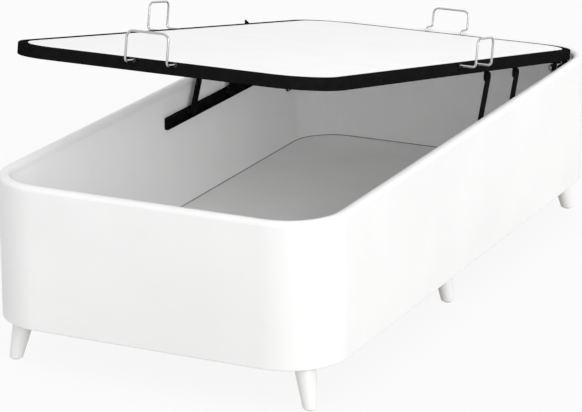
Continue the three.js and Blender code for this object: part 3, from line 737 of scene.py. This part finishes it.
def along_gas(profile, side):
    """A turning on the spring's own axis, from (radius, distance from the pivot) points."""
    points, faces = turned(profile, pin_sides)
    return [(side * gas_axis + x, y, z) for x, y, z in points], faces


cylinder_end = gas_cylinder_start + gas_cylinder_length
cylinder_profile = [(gas_neck_radius + gas_neck_root, gas_cylinder_start)]
cylinder_profile += arc(gas_cylinder_radius - gas_shoulder, gas_cylinder_start + gas_shoulder,
                        gas_shoulder, -quarter, 0, gas_shoulder_steps)
cylinder_profile += [(gas_cylinder_radius - depth, cylinder_end - along)
                     for along, depth in gas_groove]
cylinder_profile += arc(gas_cylinder_radius - gas_end_edge, cylinder_end - gas_end_edge,
                        gas_end_edge, 0, quarter, bend_steps)
cylinder_profile += [(gas_rod_radius + pin_clearance, cylinder_end),
                     (gas_rod_radius + pin_clearance, cylinder_end - gas_end_wall),
                     (gas_bore_radius, cylinder_end - gas_end_wall),
                     (gas_bore_radius, gas_cylinder_start + gas_bore_floor)]
neck_profile = [(gas_neck_radius, gas_eye_radius / 2),
                (gas_neck_radius, gas_cylinder_start + gas_neck_root)]
rod_profile = [(gas_rod_radius - gas_rod_edge, -gas_rod_length),
               (gas_rod_radius, -gas_rod_length + gas_rod_edge),
               (gas_rod_radius, -gas_eye_radius / 2)]
for side_name, side in both_sides:
    foot = Vector(joints[f"gas_cylinder_{side_name}_pivot"]["pos_m"])
    top = Vector(joints[f"gas_rod_{side_name}_pivot"]["pos_m"])
    spring_turn = Matrix.Rotation(math.atan2(foot.y - top.y, top.z - foot.z), 4, "X")
    foot_place = Matrix.Translation((0, foot.y, foot.z)) @ spring_turn
    top_place = Matrix.Translation((0, top.y, top.z)) @ spring_turn
    cylinder_shells = [gas_eye(side), along_gas(neck_profile, side),
                       along_gas(cylinder_profile, side)]
    cylinder = shaped(f"spring_cylinder_{side_name}", cylinder_shells, black_coat, foot_place)
    put(cylinder, f"gas_cylinder_{side_name}", "black_steel", f"gas_cylinder_{side_name}")
    rod_shells = [gas_eye(side), along_gas(rod_profile, side)]
    rod = shaped(f"spring_rod_{side_name}", rod_shells, chrome, top_place)
    put(rod, f"gas_rod_{side_name}", "chrome", f"gas_rod_{side_name}")

    plate_x = wall_face - gas_bracket_thickness
    half_y, half_z = gas_bracket_half
    bracket_outline = soft_box(foot.y - half_y, foot.y + half_y, foot.z - half_z, foot.z + half_z,
                               flange_corner)
    bracket_shells = [side_plate(bracket_outline, side * plate_x, side * wall_face),
                      gas_stud(plate_x + gas_stud_root, foot.y, foot.z, side)]
    bracket = shaped(f"spring_bracket_{side_name}", bracket_shells, black_coat)
    put(bracket, "base", "black_steel", f"gas_bracket_{side_name}")
    half_y, half_z = gas_screws_half
    spots = [(side * plate_x, foot.y + y, foot.z + z)
             for y in (-half_y, half_y) for z in (-half_z, half_z)]
    screws(f"spring_bracket_screws_{side_name}", spots, (0, -side * quarter, 0), "base",
           *gas_screw_size)

    closed_top = lid_place.inverted() @ top
    lug_outline = hanging_eye(closed_top.y, 0, hinge_eye_radius, gas_lug_top)
    pad_outline = soft_box(closed_top.y - gas_pad_half, closed_top.y + gas_pad_half,
                           gas_pad_bottom, gas_lug_top, gas_pad_edge, tight_steps)
    lug_shells = [
        side_plate(lug_outline, *[side * (well_half_width - reach) for reach in gas_lug_reach]),
        side_plate(pad_outline, *[side * (well_half_width - reach) for reach in gas_pad_reach]),
        gas_stud(well_half_width - gas_lug_stud_reach, closed_top.y, 0, side),
    ]
    lug = shaped(f"spring_lug_{side_name}", lug_shells, black_coat, lid_place)
    put(lug, "lid", "black_steel", f"gas_lug_{side_name}")

# Lid frame: one ring of black powder-coated steel tube, 24 by 30 mm, bent round at the
# corners. A steel eye is welded under it at each hinge, and a small tab on top of its left side.
lid_side_gap = 0.003
lid_foot_gap = 0.003
lid_head_gap = 0.011
lid_half_width = well_half_width - lid_side_gap
lid_foot_y = -(half_length - wall_thickness) + lid_foot_gap - hinge.y
lid_head_y = half_length - wall_thickness - lid_head_gap - hinge.y
lid_corner_radius = 0.140
tube_width = 0.024
tube_bottom = 0.017
tube_top = 0.047
tube_edge = 0.003
eye_root = 0.0008
lid_plan = (lid_half_width, lid_foot_y, lid_head_y, lid_corner_radius)
lid_middle_y = (lid_foot_y + lid_head_y) / 2
tube_section = soft_box(0, tube_width, tube_bottom, tube_top, tube_edge)
frame_shells = [ring_shell(lid_plan, tube_section)]
for _, side in both_sides:
    eye_outline = hanging_eye(0, 0, hinge_eye_radius, tube_bottom + eye_root)
    frame_shells.append(bored_plate(eye_outline, (0, 0), pivot_radius + pin_clearance,
                                    side * pin_inner, side * (pin_inner + plate_thickness)))
tab_foot_y = -0.395
tab_length = 0.029
tab_tip_length = 0.005
tab_height = 0.0105
tab_root = 0.001
tab_setback = 0.003
tab_thickness = 0.003
tab_outline = [(tab_foot_y, tube_top - tab_root), (tab_foot_y + tab_length, tube_top - tab_root),
               (tab_foot_y + tab_tip_length, tube_top + tab_height),
               (tab_foot_y, tube_top + tab_height)]
tab_outer = -lid_half_width + tab_setback
frame_shells.append(side_plate(tab_outline, tab_outer, tab_outer + tab_thickness))
lid_frame = shaped("lid_tube_ring", frame_shells, black_coat, lid_place)
put(lid_frame, "lid", "black_steel", "lid_frame")

# Cross bars: three square steel tubes in the same black coat, welded across the ring. The
# lid board lies on them, held by screws from below.
cross_bar_width = 0.024
cross_bar_top = 0.0347
cross_bar_wall = 0.0015
cross_bar_edge = 0.002
cross_bar_spacing = 0.450
cross_bar_end = lid_half_width - tube_width - seat_gap
bar_screws = 5
bar_screw_size = (0.0045, 0.002)  # radius, height
for bar_name, bar in (("foot", -1), ("middle", 0), ("head", 1)):
    bar_y = lid_middle_y + bar * cross_bar_spacing
    outer = soft_box(bar_y - cross_bar_width / 2, bar_y + cross_bar_width / 2,
                     tube_bottom, cross_bar_top, cross_bar_edge, bend_steps)
    inner = drawn_in(outer, cross_bar_wall)
    ends = [(-cross_bar_end, outer), (cross_bar_end, outer),
            (cross_bar_end, inner), (-cross_bar_end, inner)]
    rows = [[(x, y, z) for y, z in loop] for x, loop in ends]
    cross_bar = shaped(f"lid_bar_{bar_name}", [loft(rows, closed=True)], black_coat, lid_place)
    put(cross_bar, "lid", "black_steel", f"lid_cross_bar_{bar_name}")
    gap = 2 * cross_bar_end / bar_screws
    spots = [lid_place @ Vector((gap * (place + 0.5) - cross_bar_end, bar_y, tube_bottom))
             for place in range(bar_screws)]
    screws(f"lid_bar_screws_{bar_name}", spots, (math.pi - lid_tilt, 0, 0), "lid", *bar_screw_size)

# Lid board: 12 mm fibreboard in smooth white foil with softly broken edges. It lies flush
# inside the tube ring, and the mattress rests on it.
board_thickness = 0.012
board_edge = 0.001
board_edge_steps = 3
board_inset = tube_width + seat_gap
board_foil = surface("white_board_foil", (0.915, 0.915, 0.915), (0.895, 0.895, 0.895), 0.42,
                     patch=0.15, grain=0.0012, depth=0.00002)
board_bottom = tube_top - board_thickness
board_section = arc(board_inset + board_edge, board_bottom + board_edge, board_edge,
                    3 * quarter, 2 * quarter, board_edge_steps)
board_section += arc(board_inset + board_edge, tube_top - board_edge, board_edge,
                     2 * quarter, quarter, board_edge_steps)
board_rows = [plan_loop(lid_plan, inset, z) for inset, z in board_section]
board = shaped("lid_board_panel", [loft(board_rows)], board_foil, lid_place)
put(board, "lid", "lid_board", "lid_board")

# Mattress retainers: four hoops of 6 mm chromed wire, one at the middle of each side of the
# lid. Their ends push into holes in the tube, each with a small black bush round it.
wire_radius = 0.003
wire_sides = 20
retainer_half = 0.055
retainer_standoff = 0.043
head_retainer_standoff = 0.033
retainer_top = tube_bottom + 0.098
retainer_rod_z = tube_bottom + 0.025
head_rod_z = tube_bottom + 0.043
socket_depth = 0.008
lower_bend = 0.010
upper_bend = 0.016
wire_bend_steps = 10
bush_radius = 0.0052
bush_height = 0.0012
bush_edge = 0.0005
bush_sides = 24
wire_tree, wire_keys = new_tree("bent_wire", {
    "Wire Radius": "NodeSocketFloat", "Bend Steps": "NodeSocketInt",
    "Metal": "NodeSocketMaterial"})
given = wire_tree.nodes.new("NodeGroupInput").outputs
line = step(wire_tree, "GeometryNodeMeshToCurve", Mesh=given["Geometry"])
bend_size = step(wire_tree, "GeometryNodeInputNamedAttribute", Name="bend")
bends = wire_tree.nodes.new("GeometryNodeFilletCurve")
bends.mode = "POLY"
wire_tree.links.new(line.outputs[0], bends.inputs["Curve"])
wire_tree.links.new(given["Bend Steps"], bends.inputs["Count"])
wire_tree.links.new(bend_size.outputs[0], bends.inputs["Radius"])
wire_ring = step(wire_tree, "GeometryNodeCurvePrimitiveCircle", Resolution=wire_sides,
                 Radius=given["Wire Radius"])
drawn = step(wire_tree, "GeometryNodeCurveToMesh", Curve=bends.outputs[0],
             Profile_Curve=wire_ring.outputs[0], Fill_Caps=True)
close_tree(wire_tree, drawn.outputs[0], given["Metal"])

black_nylon = surface("black_nylon", (0.020, 0.020, 0.021), (0.028, 0.028, 0.028), 0.6,
                      patch=0.01)
stations = (("left", (-lid_half_width, lid_middle_y), quarter),
            ("right", (lid_half_width, lid_middle_y), -quarter),
            ("foot", (0, lid_foot_y), math.pi), ("head", (0, lid_head_y), 0))
bush_rings = [(wire_radius, -bush_height), (bush_radius, -bush_height),
              (bush_radius, bush_height / 2), (bush_radius - bush_edge, bush_height),
              (wire_radius, bush_height)]
for station, (station_x, station_y), turn in stations:
    over = station == "head"
    rod_z = head_rod_z if over else retainer_rod_z
    inner_y = -tube_width / 2 if over else -socket_depth
    standoff = head_retainer_standoff if over else retainer_standoff
    leg_path = [((retainer_half, inner_y, rod_z), lower_bend),
                ((retainer_half, standoff, rod_z), lower_bend),
                ((retainer_half, standoff, retainer_top), upper_bend)]
    if over:
        leg_path.insert(0, ((retainer_half, inner_y, tube_top - socket_depth), 0))
    path = leg_path + [((-x, y, z), bend) for (x, y, z), bend in reversed(leg_path)]
    place = lid_place @ Matrix.Translation((station_x, station_y, 0))
    place = place @ Matrix.Rotation(turn, 4, "Z")
    path_mesh = line_mesh("wire_path", [place @ Vector(point) for point, _ in path])
    bend_values = path_mesh.attributes.new("bend", "FLOAT", "POINT")
    for index, (_, bend) in enumerate(path):
        bend_values.data[index].value = bend
    hoop = grown(f"retainer_hoop_{station}", path_mesh, wire_tree, wire_keys, {
        "Wire Radius": wire_radius, "Bend Steps": wire_bend_steps, "Metal": chrome})
    hoop.data.shade_smooth()
    put(hoop, "lid", "chrome", f"mattress_retainer_{station}")
    bush_points, bush_faces = loft([ring_of(radius, along, bush_sides)
                                    for radius, along in bush_rings], closed=True)
    facing = Matrix.Identity(4) if over else Matrix.Rotation(-quarter, 4, "X")
    bush_shells = []
    for bush_x in (-retainer_half, retainer_half):
        at = (bush_x, -tube_width / 2, tube_top) if over else (bush_x, 0, rod_z)
        bush_place = Matrix.Translation(at) @ facing
        bush_shells.append(([tuple(bush_place @ Vector(point)) for point in bush_points],
                            bush_faces))
    bush = shaped(f"retainer_bushes_{station}", bush_shells, black_nylon, place)
    put(bush, "lid", "nylon")

# Lifting arms: two flat steel straps on each side, black coated, each on a riveted stud under
# the lid's tube. A nylon glide on a pin at each foot runs in the rail.
arm_half_width = 0.0135
rail_depth = 0.012
arm_outer = well_half_width - rail_depth - running_gap
arm_inner = arm_outer - plate_thickness
lug_outer = arm_inner - running_gap
glide_near = arm_outer + running_gap
glide_far = well_half_width - seat_gap - rail_wall - running_gap
glide_radius = 0.0055
glide_pin_radius = 0.003
# The glide pin's riveted head: distance from the strap's inner face, and extra radius.
glide_pin_head = ((-0.001, 0.0015), (-0.0004, 0.002), (0.0002, 0.002), (0.0002, 0))
arm_stud_root = 0.0025
for side_name, side in both_sides:
    for end_name in ("front", "rear"):
        tag = f"{end_name}_{side_name}"
        pivot = Vector(joints[f"{end_name}_arm_{side_name}_pivot"]["pos_m"])
        glide_low, glide_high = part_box(f"arm_glide_{tag}")
        glide = (glide_low + glide_high) / 2
        arm_length = math.hypot(glide.y - pivot.y, glide.z - pivot.z)
        arm_turn = math.atan2(glide.y - pivot.y, pivot.z - glide.z)
        arm_place = Matrix.Translation((0, pivot.y, pivot.z)) @ Matrix.Rotation(arm_turn, 4, "X")
        strap = arc(0, 0, arm_half_width, 0, 2 * quarter, eye_steps)
        strap += arc(0, -arm_length, arm_half_width, 2 * quarter, 4 * quarter, eye_steps)
        pin = [(arm_inner + along, glide_pin_radius + extra) for along, extra in glide_pin_head]
        pin.append((glide_far, glide_pin_radius))
        arm_shells = [bored_plate(strap, (0, 0), pivot_radius + pin_clearance,
                                  side * arm_inner, side * arm_outer),
                      cross_pin(pin, 0, -arm_length, side)]
        arm = shaped(f"arm_strap_{tag}", arm_shells, black_coat, arm_place)
        put(arm, f"{end_name}_arm_{side_name}", "black_steel", f"lift_arm_{tag}")

        ring = arc(0, -arm_length, glide_radius, 0, 4 * quarter, pin_sides)[:-1]
        roller = bored_plate(ring, (0, -arm_length), glide_pin_radius + pin_clearance,
                             side * glide_near, side * glide_far)
        roller = shaped(f"arm_roller_{tag}", [roller], black_nylon, arm_place)
        put(roller, f"{end_name}_arm_{side_name}", "nylon", f"arm_glide_{tag}")

        closed_pivot = lid_place.inverted() @ pivot
        stud_seat = arm_outer + seat_gap
        stud_end = stud_seat + pin_head_thickness
        stud = [(lug_outer - arm_stud_root, pivot_radius), (stud_seat, pivot_radius),
                (stud_seat, pin_head_radius), (stud_end - pin_chamfer, pin_head_radius),
                (stud_end, pin_head_radius - pin_chamfer)]
        lug_outline = hanging_eye(closed_pivot.y, 0, arm_half_width, tube_bottom - seat_gap)
        lug_inner = lug_outer - plate_thickness
        lug_shells = [side_plate(lug_outline, side * lug_inner, side * lug_outer),
                      cross_pin(stud, closed_pivot.y, 0, side)]
        lug = shaped(f"arm_mount_{tag}", lug_shells, black_coat, lid_place)
        put(lug, "lid", "black_steel", f"arm_lug_{tag}")

# Studio: a wide white floor that keeps the object's soft shadow, under a plain pale sky, with
# soft lamps from the right, the front and above. Light may bounce 12 times, because the white
# well is lit mostly by light that goes from wall to wall.
floor_half = 30
floor_grey = 0.6
floor_roughness = 0.9
floor_glow_share = 0.91
sky_level = 0.82
wall_bounces = 12
lamps = (("side_lamp", 0.96, 35, (0.84, -0.36, 0.35)),
         ("fill_lamp", 0.52, 30, (0.56, -0.79, 0.25)),
         ("top_lamp", 0.27, 50, (0.15, -0.10, 0.98)))


def seen_rays(tree):
    """1 for the rays that look at a surface or mirror it, and 0 for the light that it gives."""
    rays = step(tree, "ShaderNodeLightPath")
    total = rays.outputs["Is Camera Ray"]
    for kind in ("Is Glossy Ray", "Is Transmission Ray"):
        joined = step(tree, "ShaderNodeMath")
        tree.links.new(total, joined.inputs[0])
        tree.links.new(rays.outputs[kind], joined.inputs[1])
        total = joined.outputs["Value"]
    joined.use_clamp = True
    return total


floor_loop = [(-floor_half, -floor_half, 0), (floor_half, -floor_half, 0),
              (floor_half, floor_half, 0), (-floor_half, floor_half, 0)]
floor_mesh = bpy.data.meshes.new("studio_floor")
floor_mesh.from_pydata(floor_loop, [], [(0, 1, 2, 3)])
studio_floor = placed("studio_floor", floor_mesh)
floor_paint = bpy.data.materials.new("studio_floor_paint")
floor_paint.use_nodes = True
floor_tree = floor_paint.node_tree
floor_links = floor_tree.links
floor_shader = floor_tree.nodes["Principled BSDF"]
floor_shader.inputs["Base Color"].default_value = (floor_grey, floor_grey, floor_grey, 1)
floor_shader.inputs["Roughness"].default_value = floor_roughness
floor_shader.inputs["Specular IOR Level"].default_value = 0
seen_share = step(floor_tree, "ShaderNodeMath")
seen_share.operation = "MULTIPLY"
seen_share.inputs[1].default_value = floor_glow_share
glow = step(floor_tree, "ShaderNodeEmission", Color=(1, 1, 1, 1))
floor_mix = step(floor_tree, "ShaderNodeMixShader", Fac=seen_share.outputs["Value"])
floor_links.new(seen_rays(floor_tree), seen_share.inputs[0])
floor_links.new(floor_shader.outputs["BSDF"], floor_mix.inputs[1])
floor_links.new(glow.outputs["Emission"], floor_mix.inputs[2])
floor_links.new(floor_mix.outputs["Shader"], floor_tree.nodes["Material Output"].inputs["Surface"])
floor_mesh.materials.append(floor_paint)

world = bpy.data.worlds.new("sky")
bpy.context.scene.world = world
world.use_nodes = True
sky_tree = world.node_tree
plain_sky = sky_tree.nodes["Background"]
plain_sky.inputs["Color"].default_value = (1, 1, 1, 1)
plain_sky.inputs["Strength"].default_value = sky_level
seen_sky = step(sky_tree, "ShaderNodeBackground", Color=(1, 1, 1, 1))
sky_mix = step(sky_tree, "ShaderNodeMixShader", Fac=seen_rays(sky_tree))
sky_tree.links.new(plain_sky.outputs["Background"], sky_mix.inputs[1])
sky_tree.links.new(seen_sky.outputs["Background"], sky_mix.inputs[2])
sky_tree.links.new(sky_mix.outputs["Shader"], sky_tree.nodes["World Output"].inputs["Surface"])

for lamp_name, lamp_level, lamp_degrees, lamp_from in lamps:
    lamp_data = bpy.data.lights.new(lamp_name, "SUN")
    lamp_data.energy = lamp_level
    lamp_data.angle = math.radians(lamp_degrees)
    lamp = placed(lamp_name, lamp_data)
    lamp.rotation_euler = Vector(lamp_from).to_track_quat("Z", "Y").to_euler()
bpy.context.scene.view_settings.view_transform = "Standard"
bpy.context.scene.cycles.diffuse_bounces = wall_bounces
